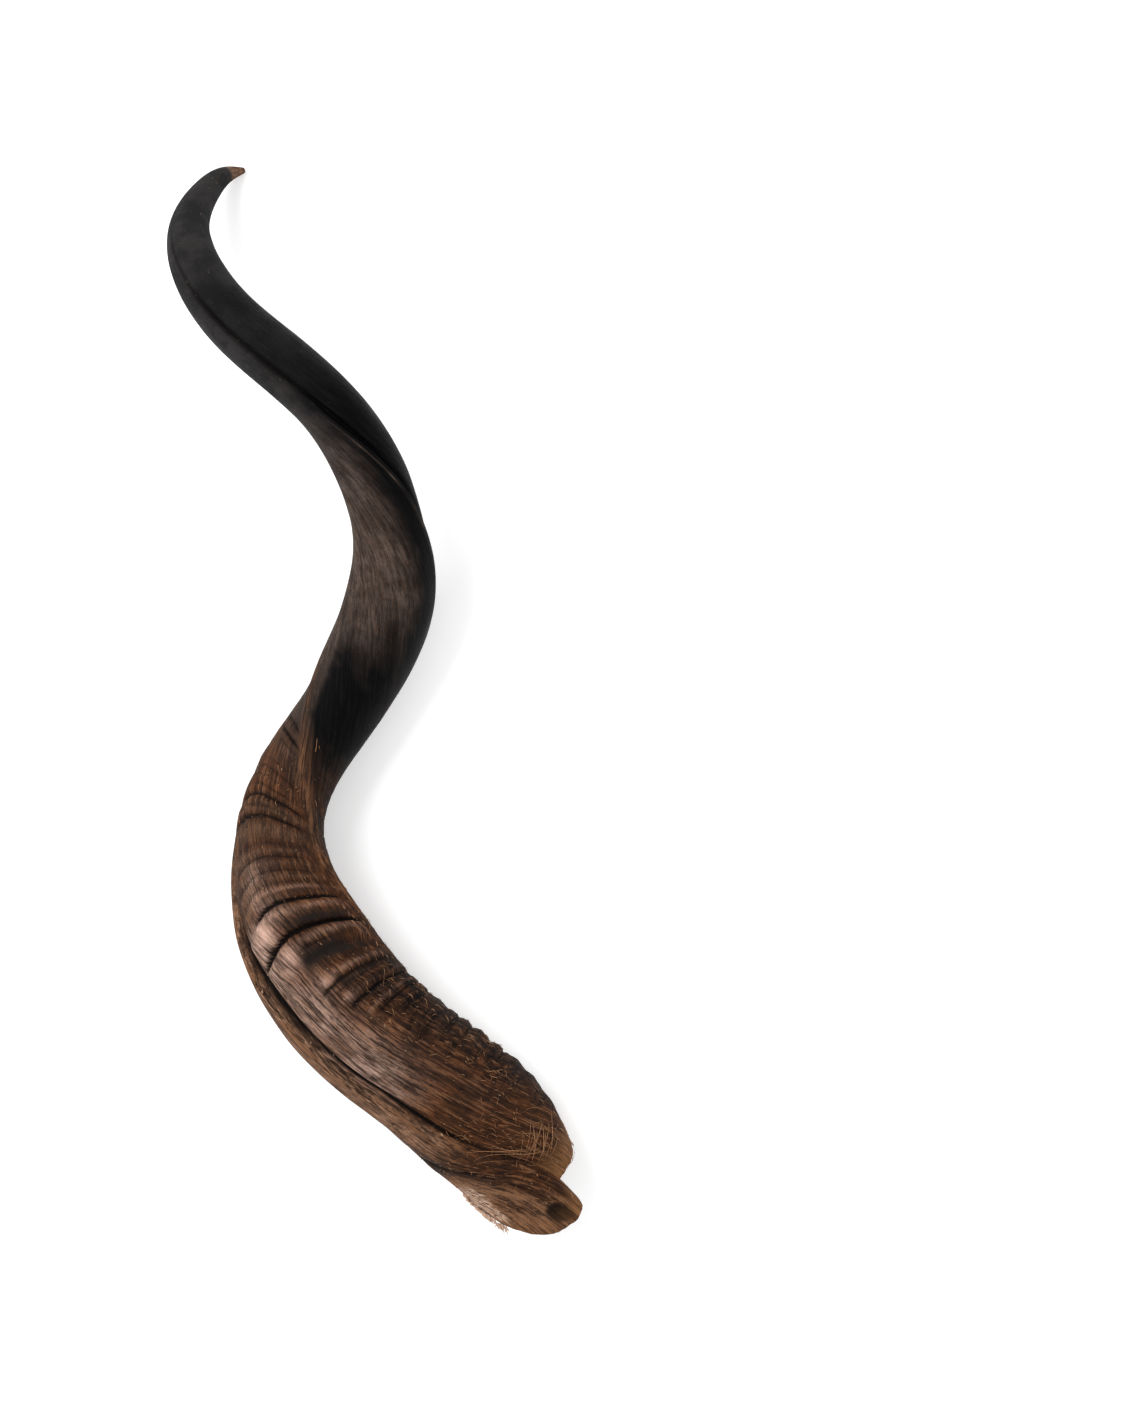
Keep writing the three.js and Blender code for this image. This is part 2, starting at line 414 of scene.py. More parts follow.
@dataclass
class Relief:
    """What stands up from the plain oval and what is sunk in it, in millimetres."""

    line: HornLine
    roll_height: Pairs = field(
        default_factory=lambda: [
            (0, 2), (60, 4), (130, 6.5), (320, 7), (430, 4.5), (600, 3), (760, 3), (860, 1.5), (930, 0),
        ]
    )
    crevice_depth: Pairs = field(
        default_factory=lambda: [
            (0, 0.5), (60, 1.5), (96, 2.2), (125, 3.4), (200, 5.5), (285, 8), (320, 8), (430, 4),
            (620, 3), (760, 3), (850, 2.8), (880, 0.5), (900, 0),
        ]
    )
    ridge_round: Pairs = field(
        default_factory=lambda: [
            (0, 190), (200, 182), (350, 182), (400, 188), (440, 202), (480, 210), (640, 226),
        ]
    )
    ridge_height: Pairs = field(
        default_factory=lambda: [(50, 0), (100, 1.5), (200, 2.5), (440, 3), (520, 2), (610, 0)]
    )
    rings: Pairs = field(
        default_factory=lambda: [
            (70, 0), (84, 1.2), (93, -0.8), (104, 1.3), (112, -0.5), (122, 1.3), (134, -1.2),
            (140, 1.2), (147, -1), (158, 1.3), (165, -1), (172, 1.1), (179, -1), (188, 0.5),
            (194, -0.6), (202, 1), (208, -0.5), (216, 1.3), (226, 0.4), (237, -1.4), (246, 0),
            (332, 0.3), (340, -0.7), (346, 0.6), (351, -0.6), (357, 0.7), (363, -0.8), (370, 0.6),
            (376, -0.4), (384, 0.9), (390, 0.4), (393, -1.3), (396, 0.4), (403, 0.6), (406, -0.4),
            (408, -1.3), (411, 0.2), (417, 0.6), (427, -0.7), (436, 0.5), (445, -0.3), (451, 0.8),
            (456, -1), (461, 0.8), (467, -0.9), (474, 0.4), (482, 0),
        ]
    )
    folds: list[Fold] = field(
        default_factory=lambda: [
            Fold(320, 5.2, -22, -172, 5, 17, -62, 1.0),
            Fold(297, 5.4, -26, -168, 5, 16, -69, 0.66),
            Fold(267, 3.0, -52, -170, 4, 9, -80, 0.5),
            Fold(249, 2.4, -66, -178, 4, 7, -84, 0.4),
            Fold(233, 1.3, -76, -185, 4, 7),
            Fold(257, 1.0, -74, -150, 3, 5),
            Fold(338, 1.1, -48, -160, 4, 9),
        ]
    )
    grooves: list[Groove] = field(
        default_factory=lambda: [
            Groove(466, 1.0, -96, -150, 1.5), Groove(456, 1.3, -92, -152, 1.6),
            Groove(449, 0.8, -98, -150, 1.3), Groove(441, 0.5, -90, -140, 1.2),
            Groove(427, 0.8, -72, -158, 1.3), Groove(414, 0.8, -74, -150, 1.6),
            Groove(433.5, 0.7, -84, -150, 1.3), Groove(420.5, 0.7, -60, -150, 1.2),
            Groove(400.5, 0.8, -50, -150, 1.2), Groove(407.5, 1.2, -52, -168, 1.3),
            Groove(393.5, 1.2, -34, -165, 1.3), Groove(384, 0.4, -50, -120, 1.2),
            Groove(373, 0.7, -40, -140, 1.4), Groove(362, 0.8, -40, -160, 1.5),
            Groove(350, 0.7, -40, -165, 1.4), Groove(341, 0.6, -52, -150, 1.3),
            Groove(333, 0.6, -60, -158, 1.3), Groove(326, 1.8, -54, -166, 1.9),
            Groove(302.5, 2.9, -28, -166, 1.8), Groove(289, 0.9, -78, -124, 1.5),
            Groove(259, 1.2, -60, -160, 1.5), Groove(254, 0.9, -72, -150, 1.3),
            Groove(240.5, 1.5, -74, -176, 1.6), Groove(233.5, 0.8, -84, -150, 1.2),
            Groove(225, 1.2, -88, -180, 1.5), Groove(213, 1.0, -104, -186, 1.8),
            Groove(191.5, 0.8, -84, -186, 1.4), Groove(180, 0.9, -110, -190, 1.4),
            Groove(165, 0.9, -116, -190, 1.4), Groove(147, 0.9, -120, -190, 1.4),
            Groove(134, 1.0, -112, -190, 1.4),
        ]
    )
    dips: list[Groove] = field(
        default_factory=lambda: [Groove(279, 2.4, -70, -162, 6.0), Groove(272, 2.0, -76, -158, 4.0)]
    )
    # Bands of painted shade below the folds and between the rings, as shares of the shade colour.
    shades: list[Groove] = field(
        default_factory=lambda: [
            Groove(308, 1.0, -78, -160, 5.5), Groove(281.5, 1.3, -68, -126, 6.4),
            Groove(278, 0.8, -112, -158, 5), Groove(256, 0.75, -84, -146, 4.5),
            Groove(240, 0.7, -88, -156, 4), Groove(230, 0.85, -104, -138, 8),
            Groove(212, 0.5, -96, -150, 7), Groove(331, 0.45, -62, -160, 4),
            Groove(410, 0.35, -90, -150, 4), Groove(458, 0.4, -94, -150, 9),
        ]
    )
    # Painted light and shade across the rings: above 0 a painted highlight on a ring, below 0 painted shade
    # in the groove beside it.
    ring_light_and_shade: Pairs = field(
        default_factory=lambda: [
            (328, -0.4), (332, 0.3), (336, 1), (340, -0.8), (345, 0.9), (350, -0.8), (356, 0.8),
            (362, -0.9), (367, 0.9), (372, -0.7), (378, 0.4), (384, 0.9), (389, 0.3), (393, -0.9),
            (398, 0.7), (403, 0.5), (408, -0.9), (412, 0.3), (415, -0.4), (420, 0.5), (427, -0.5),
            (434, 0.4), (441, -0.3), (446, 0.3), (450, -0.4), (453, 0.5), (456, -0.6), (461, 0.5),
            (466, -0.5), (472, 0.3), (480, 0),
        ]
    )
    ring_middle: float = -98.0
    ring_bow: float = 14.0
    ring_turn: float = 1.2
    wobble: Grain = field(default_factory=lambda: Grain(3, 34.0, 9))
    ripple: Grain = field(default_factory=lambda: Grain(5, 7.0, 26))
    wrinkle: Grain = field(default_factory=lambda: Grain(8, 3.2, 16))
    fibre: Grain = field(default_factory=lambda: Grain(11, 16.0, 130))
    lump: Grain = field(default_factory=lambda: Grain(13, 22.0, 14))

    def bow(self, past_keel: Array) -> Array:
        """How far back towards the mouth the rings lie at a bearing past the keel."""
        turned = np.clip(self.ring_turn * wrap(past_keel - self.ring_middle), -180, 180)
        return self.ring_bow * (1 - np.cos(np.radians(turned)))

    def keel_roll(self, along: Array, b: Array) -> Array:
        """The roll of the keel and the crevice beside it.

        Args:
            along: Distances along, in millimetres.
            b: Bearings past the keel, in degrees.

        Returns:
            Heights in millimetres.
        """
        gap = self.line.gap(along)
        roll, depth = lines(self.roll_height, along), lines(self.crevice_depth, along)
        wander = 0.6 * self.wobble(along * 2.0, np.zeros_like(along))
        far = roll * (0.72 * bell(b, 28) + 0.28 * bell(b, 8))
        side = roll - (roll + depth) * smooth(-b / gap + 0.05 * wander, 0.45, 0.99)
        ringed = -depth * bell(b + gap, 6.0)
        return np.where(b >= 0, far, np.where(b >= -gap, side, ringed))

    def ring_strength(self, along: Array, b: Array) -> Array:
        """How strongly the rings show: whole on the face, faint on the side that the horn lies on.

        Args:
            along: Distances along, in millimetres.
            b: Bearings past the keel, in degrees.

        Returns:
            Shares from 0 to 1.
        """
        start = np.where(along < 240, 80, 50)
        near_keel = smooth(-b, 28, start)
        near_ridge = 1 - 0.8 * smooth(-b, 150, 178) * smooth(along, 215, 250)
        fine = np.where(along > 445, smooth(-b, 95, 120), 1.0)
        face = np.where(b < 0, near_keel * near_ridge * fine, 0.0)
        under = 0.25 * smooth(b, 40, 90) * (1 - smooth(along, 420, 470))
        return np.maximum(face, under)

    def level(self, along: Array, b: Array) -> Array:
        """Distances along, levelled to the rings' bow and wander."""
        shift = 1.5 * self.wobble(along, b) + 0.5 * self.ripple(along, b * 1.5)
        return along + self.bow(b) + shift * smooth(-b, 20, 70)

    def fold_height(self, along: Array, b: Array) -> Array:
        """The bold folds, without their grooves.

        Args:
            along: Distances along, in millimetres.
            b: Bearings past the keel, in degrees.

        Returns:
            Heights in millimetres.
        """
        level = self.level(along, b)
        swell = 1 + 0.18 * self.lump(along, b)
        return sum(fold.rise(level, wrap(b)) for fold in self.folds) * swell

    def cut(self, cuts: list[Groove], along: Array, b: Array) -> Array:
        """The depth of one list of grooves, dips or shades.

        Args:
            cuts: The grooves.
            along: Distances along, in millimetres.
            b: Bearings past the keel, in degrees.

        Returns:
            Depths in millimetres, or shares for the shades.
        """
        level = self.level(along, b)
        return sum(cut.depth * cut.show(level, wrap(b)) for cut in cuts)

    def ring_height(self, along: Array, b: Array) -> Array:
        """The height of the growth rings, with the wander that keeps them from being even.

        Args:
            along: Distances along, in millimetres.
            b: Bearings past the keel, in degrees.

        Returns:
            Heights in millimetres.
        """
        height = lines(self.rings, self.level(along, b))
        fade = 0.82 + 0.3 * self.ripple(along * 0.5, b)
        fine = height * fade * self.ring_strength(along, b)
        raised = fine + self.fold_height(along, b)
        return raised - self.cut(self.grooves, along, b) - self.cut(self.dips, along, b)

    def fine(self, along: Array, b: Array) -> Array:
        """Wrinkles between the rings, fibres along the horn and the lumps of the torn base.

        Args:
            along: Distances along, in millimetres.
            b: Bearings past the keel, in degrees.

        Returns:
            Heights in millimetres.
        """
        ringed = stretch(along, 60, 110, 400, 480) * smooth(-b, 30, 70)
        level = along + self.bow(b)
        wrinkles = 0.34 * self.wrinkle(level, b) * ringed * (1 - smooth(-b, 168, 180) * 0.5)
        base = 1 - smooth(along, 110, 330)
        fibres = 0.22 * self.fibre(along, b) * (0.35 + 0.65 * base) * (1 - 0.7 * smooth(along, 420, 560))
        lumps = 0.5 * self.lump(along, b) * (0.4 + 0.6 * base) * (1 - smooth(along, 900, 1000))
        return wrinkles + fibres + lumps

    def lobe_lines(self, along: Array, b: Array) -> Array:
        """The scaly valley past the keel near the mouth, a crack beside it and the lobe's hollow.

        Args:
            along: Distances along, in millimetres.
            b: Bearings past the keel, in degrees.

        Returns:
            Heights in millimetres.
        """
        way = [(33, 0), (40, 5), (50, 7), (60, 7), (80, 4), (95, 4), (105, 9), (118, 12), (150, 22)]
        valley = lines(way, along) + 2.2 * self.ripple(along * 1.1, np.zeros_like(along))
        show = stretch(along, 22, 36, 118, 158)
        groove = -1.9 * bell(wrap(b - valley), 2.4) * show * (0.75 + 0.5 * self.ripple(along, b))
        crack = lines([(55, -29), (70, -30), (103, -36), (125, -40)], along)
        groove = groove - 0.9 * bell(b - crack, 1.9) * stretch(along, 48, 60, 108, 128)
        reach = self.lobe_reach(along, b)
        return groove - 3.6 * (1 - smooth(reach, 0.1, 1.05)) + 0.5 * bell(reach - 1.2, 0.2)

    def lobe_reach(self, along: Array, b: Array) -> Array:
        """How far from the middle of the lobe's hollow a place is: 1 on its edge."""
        return np.hypot((along - 20) / 11.0, wrap(b - 13) / 17.5)

    def scales(self, along: Array, b: Array) -> Array:
        """Loose scales on the far side of the keel near the mouth."""
        zone = (1 - smooth(along, 130, 190)) * stretch(b, -12, 6, 90, 130)
        return 0.8 * np.abs(self.ripple(along * 0.35, b * 2.4)) * zone

    def ridge(self, along: Array, b: Array) -> Array:
        """The blunt ridge opposite the keel."""
        off = wrap(b - lines(self.ridge_round, along))
        return lines(self.ridge_height, along) * bell(off, 13)

    def total(self, along: Array, b: Array) -> Array:
        """All the relief.

        Args:
            along: Distances along, in millimetres.
            b: Bearings past the keel, in degrees.

        Returns:
            Heights in millimetres.
        """
        parts = (self.keel_roll, self.ridge, self.ring_height, self.fine, self.lobe_lines, self.scales)
        return sum(part(along, b) for part in parts)


@dataclass
class Mouth:
    """The torn edge of the mouth and the hollow behind it."""

    rim: Pairs = field(
        default_factory=lambda: [
            (-180, 58), (-120, 54), (-81, 47), (-40, 44), (-24, 41), (-19, 18), (-9, 13), (10, 8),
            (33, 6), (47, 8), (58, 13), (78, 29), (85, 60), (120, 61), (180, 58),
        ]
    )
    rim_wall: float = 2.6
    wall: float = 6.0
    wall_full: float = 90.0
    hollow_end: float = 640.0
    hollow_power: float = 2.2
    tear: Grain = field(default_factory=lambda: Grain(21, 40.0, 110))
    nibble: Grain = field(default_factory=lambda: Grain(22, 40.0, 40))

    def start(self, b: Array) -> Array:
        """Where the horn starts at a bearing past the keel, torn edge included.

        Args:
            b: Bearings past the keel, in degrees.

        Returns:
            Distances along, in millimetres.
        """
        plain = lines(self.rim, b)
        frayed = bell(wrap(b - 82), 9)
        ragged = 0.9 + 3.5 * frayed
        zero = np.zeros_like(plain)
        return plain + ragged * (0.6 * self.nibble(zero, b) + 0.6 * self.tear(zero, b)) + 0.6 * frayed

    def inside(self, line: HornLine, along: Array, b: Array) -> Array:
        """The hollow's radius.

        Args:
            line: The horn's line.
            along: Distances along, in millimetres.
            b: Bearings past the keel, in degrees.

        Returns:
            Radii in millimetres.
        """
        share = smooth(along, lines(self.rim, b), self.wall_full)
        wall = self.rim_wall + (self.wall - self.rim_wall) * share
        taper = 1 - np.clip(along / self.hollow_end, 0, 1) ** self.hollow_power
        return (line.oval(along, b) - wall) * taper


@dataclass(frozen=True)
class KeratinFinish:
    """Horn keratin: fibrous red-brown at the base, satin black above, amber where it is thin."""

    base: Colour = (0.07, 0.026, 0.0105)
    reddish: Colour = (0.13, 0.047, 0.0185)
    # Colour of the painted highlight on the folds and the keel's edge.
    crest: Colour = (0.66, 0.42, 0.33)
    dark: Colour = (0.022, 0.0115, 0.0075)
    shade: Colour = (0.017, 0.0125, 0.0108)
    # Near-black of the painted shade in the crevice, grooves and wrinkles. It is also the real dark of the
    # hairlines, broken bands and cracks.
    recess: Colour = (0.005, 0.0035, 0.003)
    black: Colour = (0.0012, 0.0012, 0.0014)
    soot: Colour = (0.0046, 0.0044, 0.0049)
    grey: Colour = (0.105, 0.075, 0.061)
    dusk: Colour = (0.06, 0.043, 0.035)
    face: Colour = (0.52, 0.345, 0.272)
    face_dull: Colour = (0.31, 0.2, 0.158)
    keel: Colour = (0.36, 0.2, 0.122)
    keel_dull: Colour = (0.15, 0.075, 0.043)
    ash: Colour = (0.024, 0.0222, 0.0218)
    cinder: Colour = (0.013, 0.0124, 0.0126)
    fray: Colour = (0.8, 0.56, 0.42)
    amber: Colour = (0.27, 0.128, 0.052)
    ridge: Colour = (0.28, 0.136, 0.068)
    fleck: Colour = (0.42, 0.27, 0.17)
    specular: float = 0.035
    bump_metres: float = 0.0024

    def make(self) -> bpy.types.Material:
        """Builds the material.

        Returns:
            The material, ready to assign.
        """
        material, tree, shader = begin_finish("horn_keratin")
        place = tree.attribute("straight")
        fibres = tree.noise(tree.scaled(place, (1, 1, 0.06)), 480.0, 4.0, 0.65)
        strands = tree.noise(tree.scaled(place, (1, 1, 0.07)), 1100.0, 2.0, 0.6)
        bands = tree.noise(tree.scaled(place, (0.16, 0.16, 1)), 330.0, 3.0, 0.65)
        mottle = tree.noise(place, 42.0, 5.0, 0.62)
        blotch = tree.noise(tree.scaled(place, (1, 1, 0.4)), 150.0, 4.0, 0.6)
        specks = tree.noise(tree.scaled(place, (1, 1, 0.3)), 760.0, 2.0, 0.5)
        cracks = tree.cells(tree.scaled(place, (1, 1, 0.75)), 190.0)
        threads = tree.hairline(tree.noise(tree.scaled(place, (1, 1, 0.05)), 300.0, 3.0, 0.6), 0.026)
        black, rough = tree.mask(Layer.BLACK), tree.mask(Layer.ROUGH)
        crest, grey = tree.mask(Layer.PAINTED_HIGHLIGHT), tree.mask(Layer.GREY)
        colour = tree.mix(tree.step(mottle, 0.4, 0.62), self.base, self.reddish)
        colour = tree.mix(grey, colour, tree.mix(tree.step(mottle, 0.36, 0.62), self.grey, self.dusk))
        face = tree.mix(tree.step(mottle, 0.42, 0.66), self.face, self.face_dull)
        colour = tree.mix(tree.mask(Layer.FACE), colour, face)
        keel = tree.mix(tree.step(fibres, 0.47, 0.56), self.keel, self.keel_dull)
        colour = tree.mix(tree.mask(Layer.KEEL), colour, keel)
        # Painted highlight on the folds and the keel's edge.
        colour = tree.mix(crest, colour, self.crest)
        worn = tree.times(tree.range(crest, 1.0, 0.25), tree.range(grey, 1.0, 0.75))
        worn = tree.times(worn, tree.range(tree.mask(Layer.RINGED), 1.0, 0.75))
        for pattern, low, high, share in (
            (blotch, 0.55, 0.38, 0.55),
            (fibres, 0.49, 0.43, 0.74),
            (strands, 0.47, 0.41, 0.7),
        ):
            colour = tree.mix(tree.times(worn, tree.step(pattern, low, high, share)), colour, self.dark)
        colour = tree.mix(tree.times(worn, tree.times(threads, 0.8)), colour, self.recess)
        arcs = tree.times(tree.times(tree.step(bands, 0.47, 0.6), grey), 0.2)
        colour = tree.mix(arcs, colour, self.shade)
        broken = tree.times(tree.step(bands, 0.5, 0.38), tree.range(rough, 0.12, 0.85))
        colour = tree.mix(tree.times(worn, broken), colour, self.recess)
        split = tree.times(tree.times(tree.step(cracks, 0.12, 0.02), tree.step(blotch, 0.62, 0.4)), rough)
        colour = tree.mix(tree.times(split, 0.85), colour, self.recess)
        streaks = tree.times(tree.step(fibres, 0.56, 0.61, 0.46), tree.range(grey, 1.0, 0.15))
        colour = tree.mix(streaks, colour, self.ridge)
        worn_ridge = tree.times(tree.mask(Layer.RIDGE), tree.step(fibres, 0.42, 0.56))
        colour = tree.mix(worn_ridge, colour, self.ridge)
        torn = tree.mix(tree.step(strands, 0.4, 0.58), self.keel_dull, self.fray)
        colour = tree.mix(tree.times(tree.mask(Layer.FRAY), tree.step(fibres, 0.36, 0.5)), colour, torn)
        ash = tree.mix(tree.step(mottle, 0.38, 0.6), self.ash, self.cinder)
        colour = tree.mix(tree.mask(Layer.ASH), colour, ash)
        # Painted shade, together with other darker patches.
        colour = tree.mix(tree.mask(Layer.SHADE), colour, self.shade)
        # Painted shade in the crevice, grooves, wrinkles and the lobe's hollow.
        colour = tree.mix(tree.mask(Layer.RECESS_SHADE), colour, self.recess)
        sooty = tree.mix(tree.step(fibres, 0.48, 0.7), self.black, self.soot)
        colour = tree.mix(black, colour, sooty)
        flecked = tree.times(tree.step(specks, 0.7, 0.75), tree.range(black, 0.7, 0.06))
        colour = tree.mix(tree.times(flecked, tree.range(grey, 1.0, 0.25)), colour, self.fleck)
        amber = tree.mix(tree.step(strands, 0.55, 0.38, 0.6), self.amber, self.base)
        colour = tree.mix(tree.mask(Layer.AMBER), colour, amber)
        colour = tree.mix(tree.times(tree.mask(Layer.BORE), 0.75), colour, self.base)
        tree.join(colour, shader.inputs["Base Color"])
        sheen = tree.range(black, 0.62, 0.46)
        tree.join(tree.plus(sheen, tree.step(mottle, 0.3, 0.8, 0.14)), shader.inputs["Roughness"])
        shader.inputs["Specular IOR Level"].default_value = self.specular
        height = tree.plus(tree.times(fibres, 0.8), tree.times(strands, 0.6))
        height = tree.plus(height, tree.times(bands, tree.range(rough, 0.2, 1.1)))
        height = tree.plus(height, tree.times(tree.times(tree.step(cracks, 0.0, 0.14), rough), 0.5))
        height = tree.plus(height, tree.step(specks, 0.6, 0.75, 0.3))
        softened = tree.times(height, tree.times(tree.range(black, 1.0, 0.4), tree.range(crest, 1.0, 0.4)))
        softened = tree.times(softened, tree.range(grey, 1.0, 0.55))
        tree.join(tree.bump(softened, self.bump_metres), shader.inputs["Normal"])
        return material


@dataclass(frozen=True)
class FibreFinish:
    """The pale loose fibres that have split from the sheath."""

    colour: Colour = (0.52, 0.25, 0.105)
    dark: Colour = (0.16, 0.07, 0.03)
    torn: Colour = (0.5, 0.32, 0.22)
    roughness: float = 0.6

    def make(self) -> bpy.types.Material:
        """Builds the material.

        Returns:
            The material, ready to assign.
        """
        material, tree, shader = begin_finish("loose_fibre")
        tone = tree.noise(tree.attribute("straight"), 60.0, 2.0, 0.5)
        colour = tree.mix(tree.step(tone, 0.35, 0.65), self.dark, self.colour)
        tree.join(tree.mix(tree.mask(Layer.FRAY), colour, self.torn), shader.inputs["Base Color"])
        shader.inputs["Roughness"].default_value = self.roughness
        return material


@dataclass(frozen=True)
class PaleFloor:
    """A plain matt surface."""

    colour: Colour = (0.95, 0.95, 0.95)
    roughness: float = 0.9
    specular: float = 0.1
    glow: float = 0.25

    def make(self) -> bpy.types.Material:
        """Builds the material.

        Returns:
            The material, ready to assign.
        """
        material, _, shader = begin_finish("pale_floor")
        shader.inputs["Base Color"].default_value = (*self.colour, 1)
        shader.inputs["Roughness"].default_value = self.roughness
        shader.inputs["Specular IOR Level"].default_value = self.specular
        shader.inputs["Emission Color"].default_value = (1, 1, 1, 1)
        shader.inputs["Emission Strength"].default_value = self.glow
        return material


class NodeTree:
    """Short calls that add the shader nodes a finish is made of."""

    def __init__(self, tree: bpy.types.NodeTree) -> None:
        """Keeps the tree.

        Args:
            tree: The material's node tree.
        """
        self.tree = tree

    def join(self, source: object, socket: bpy.types.NodeSocket) -> None:
        """Links a socket, or sets a number or a colour.

        Args:
            source: A socket, a number or a colour.
            socket: Where it goes.
        """
        if isinstance(source, bpy.types.NodeSocket):
            self.tree.links.new(source, socket)
        elif isinstance(source, (int, float)):
            socket.default_value = source
        else:
            socket.default_value = (*source, 1) if len(source) == 3 and socket.type == "RGBA" else source

    def attribute(self, name: str) -> bpy.types.NodeSocket:
        """The vector attribute of that name.

        Args:
            name: The attribute's name on the mesh.

        Returns:
            The socket with its vectors.
        """
        node = self.tree.nodes.new("ShaderNodeAttribute")
        node.attribute_name = name
        return node.outputs["Vector"]

    def mask(self, layer: Layer) -> bpy.types.NodeSocket:
        """One of the masks that the mesh carries.

        Args:
            layer: The mask.

        Returns:
            The socket with its values.
        """
        node = self.tree.nodes.new("ShaderNodeAttribute")
        node.attribute_name = layer.value
        return node.outputs["Fac"]

    def scaled(
        self, vector: bpy.types.NodeSocket, scale: tuple[float, float, float]
    ) -> bpy.types.NodeSocket:
        """The vector, scaled along each axis.

        Args:
            vector: The vector.
            scale: The factor along each axis.

        Returns:
            The socket with the scaled vector.
        """
        node = self.tree.nodes.new("ShaderNodeVectorMath")
        node.operation = "MULTIPLY"
        self.join(vector, node.inputs[0])
        node.inputs[1].default_value = scale
        return node.outputs[0]

    def noise(
        self, vector: bpy.types.NodeSocket, scale: float, detail: float, roughness: float
    ) -> bpy.types.NodeSocket:
        """A noise pattern.

        Args:
            vector: The places that it is read at.
            scale: The pattern's scale.
            detail: How many finer layers it has.
            roughness: How strong the finer layers are.

        Returns:
            The socket with its values, from 0 to 1.
        """
        node = self.tree.nodes.new("ShaderNodeTexNoise")
        self.join(vector, node.inputs["Vector"])
        node.inputs["Scale"].default_value = scale
        node.inputs["Detail"].default_value = detail
        node.inputs["Roughness"].default_value = roughness
        return node.outputs["Fac"]

    def cells(self, vector: bpy.types.NodeSocket, scale: float) -> bpy.types.NodeSocket:
        """The distance from the edges of random cells.

        Args:
            vector: The places that it is read at.
            scale: The cells' scale.

        Returns:
            The socket with the distances.
        """
        node = self.tree.nodes.new("ShaderNodeTexVoronoi")
        node.feature = "DISTANCE_TO_EDGE"
        self.join(vector, node.inputs["Vector"])
        node.inputs["Scale"].default_value = scale
        return node.outputs["Distance"]

    def math(self, operation: str, a: object, b: object) -> bpy.types.NodeSocket:
        """One step of arithmetic on two numbers or sockets.

        Args:
            operation: The node's name for the step.
            a: The first number or socket.
            b: The second number or socket.

        Returns:
            The socket with the result.
        """
        node = self.tree.nodes.new("ShaderNodeMath")
        node.operation = operation
        self.join(a, node.inputs[0])
        self.join(b, node.inputs[1])
        return node.outputs[0]

    def times(self, a: object, b: object) -> bpy.types.NodeSocket:
        """a times b."""
        return self.math("MULTIPLY", a, b)

    def plus(self, a: object, b: object) -> bpy.types.NodeSocket:
        """a plus b."""
        return self.math("ADD", a, b)

    def range(self, a: object, start: float, end: float) -> bpy.types.NodeSocket:
        """start where a is 0, end where a is 1."""
        return self.plus(self.times(a, end - start), start)

    def step(self, a: object, low: float, high: float, share: float = 1.0) -> bpy.types.NodeSocket:
        """A smooth step; low may be the larger.

        Args:
            a: The number or socket to step over.
            low: Where the step is 0.
            high: Where the step is whole.
            share: How strong the step is where it is whole.

        Returns:
            The socket with the step.
        """
        node = self.tree.nodes.new("ShaderNodeMapRange")
        node.interpolation_type = "SMOOTHSTEP"
        self.join(a, node.inputs["Value"])
        backwards = low > high
        node.inputs["From Min"].default_value = high if backwards else low
        node.inputs["From Max"].default_value = low if backwards else high
        node.inputs["To Min"].default_value = 1.0 if backwards else 0.0
        node.inputs["To Max"].default_value = 0.0 if backwards else 1.0
        result = node.outputs["Result"]
        return result if share == 1.0 else self.times(result, share)

    def hairline(self, noise: bpy.types.NodeSocket, width: float) -> bpy.types.NodeSocket:
        """Thin lines where the noise crosses its middle."""
        off = self.math("ABSOLUTE", self.plus(noise, -0.5), 0.0)
        return self.step(off, width, 0.0)

    def mix(self, share: object, first: object, second: object) -> bpy.types.NodeSocket:
        """A mix of two colours.

        Args:
            share: How much of the second colour it has.
            first: The colour where the share is 0.
            second: The colour where the share is 1.

        Returns:
            The socket with the mixed colour.
        """
        node = self.tree.nodes.new("ShaderNodeMix")
        node.data_type = "RGBA"
        self.join(share, node.inputs["Factor"])
        self.join(first, node.inputs[6])
        self.join(second, node.inputs[7])
        return node.outputs[2]

    def bump(self, height: object, distance: float) -> bpy.types.NodeSocket:
        """A bump.

        Args:
            height: Its height.
            distance: How many metres a height of 1 is.

        Returns:
            The socket with the bumped normals.
        """
        node = self.tree.nodes.new("ShaderNodeBump")
        node.inputs["Distance"].default_value = distance
        self.join(height, node.inputs["Height"])
        return node.outputs["Normal"]


def begin_finish(name: str) -> tuple[bpy.types.Material, NodeTree, bpy.types.ShaderNode]:
    """Starts a material.

    Args:
        name: The material's name.

    Returns:
        The material, its node tree and its shader.
    """
    material = bpy.data.materials.new(name)
    material.use_nodes = True
    return material, NodeTree(material.node_tree), material.node_tree.nodes["Principled BSDF"]


def write_attribute(mesh: bpy.types.Mesh, name: str, values: Array) -> None:
    """Writes one number or one vector for each vertex.

    Args:
        mesh: The mesh.
        name: The attribute's name.
        values: One value or one row for each vertex.
    """
    vectors = values.ndim > 1
    attribute = mesh.attributes.new(name, "FLOAT_VECTOR" if vectors else "FLOAT", "POINT")
    attribute.data.foreach_set("vector" if vectors else "value", values.astype(np.float32).ravel())


def face_outward() -> None:
    """Turns all faces of the active piece outward and smooths its shading."""
    bpy.ops.object.mode_set(mode="EDIT")
    bpy.ops.mesh.select_all(action="SELECT")
    bpy.ops.mesh.normals_make_consistent(inside=False)
    bpy.ops.object.mode_set(mode="OBJECT")
    bpy.ops.object.shade_smooth()


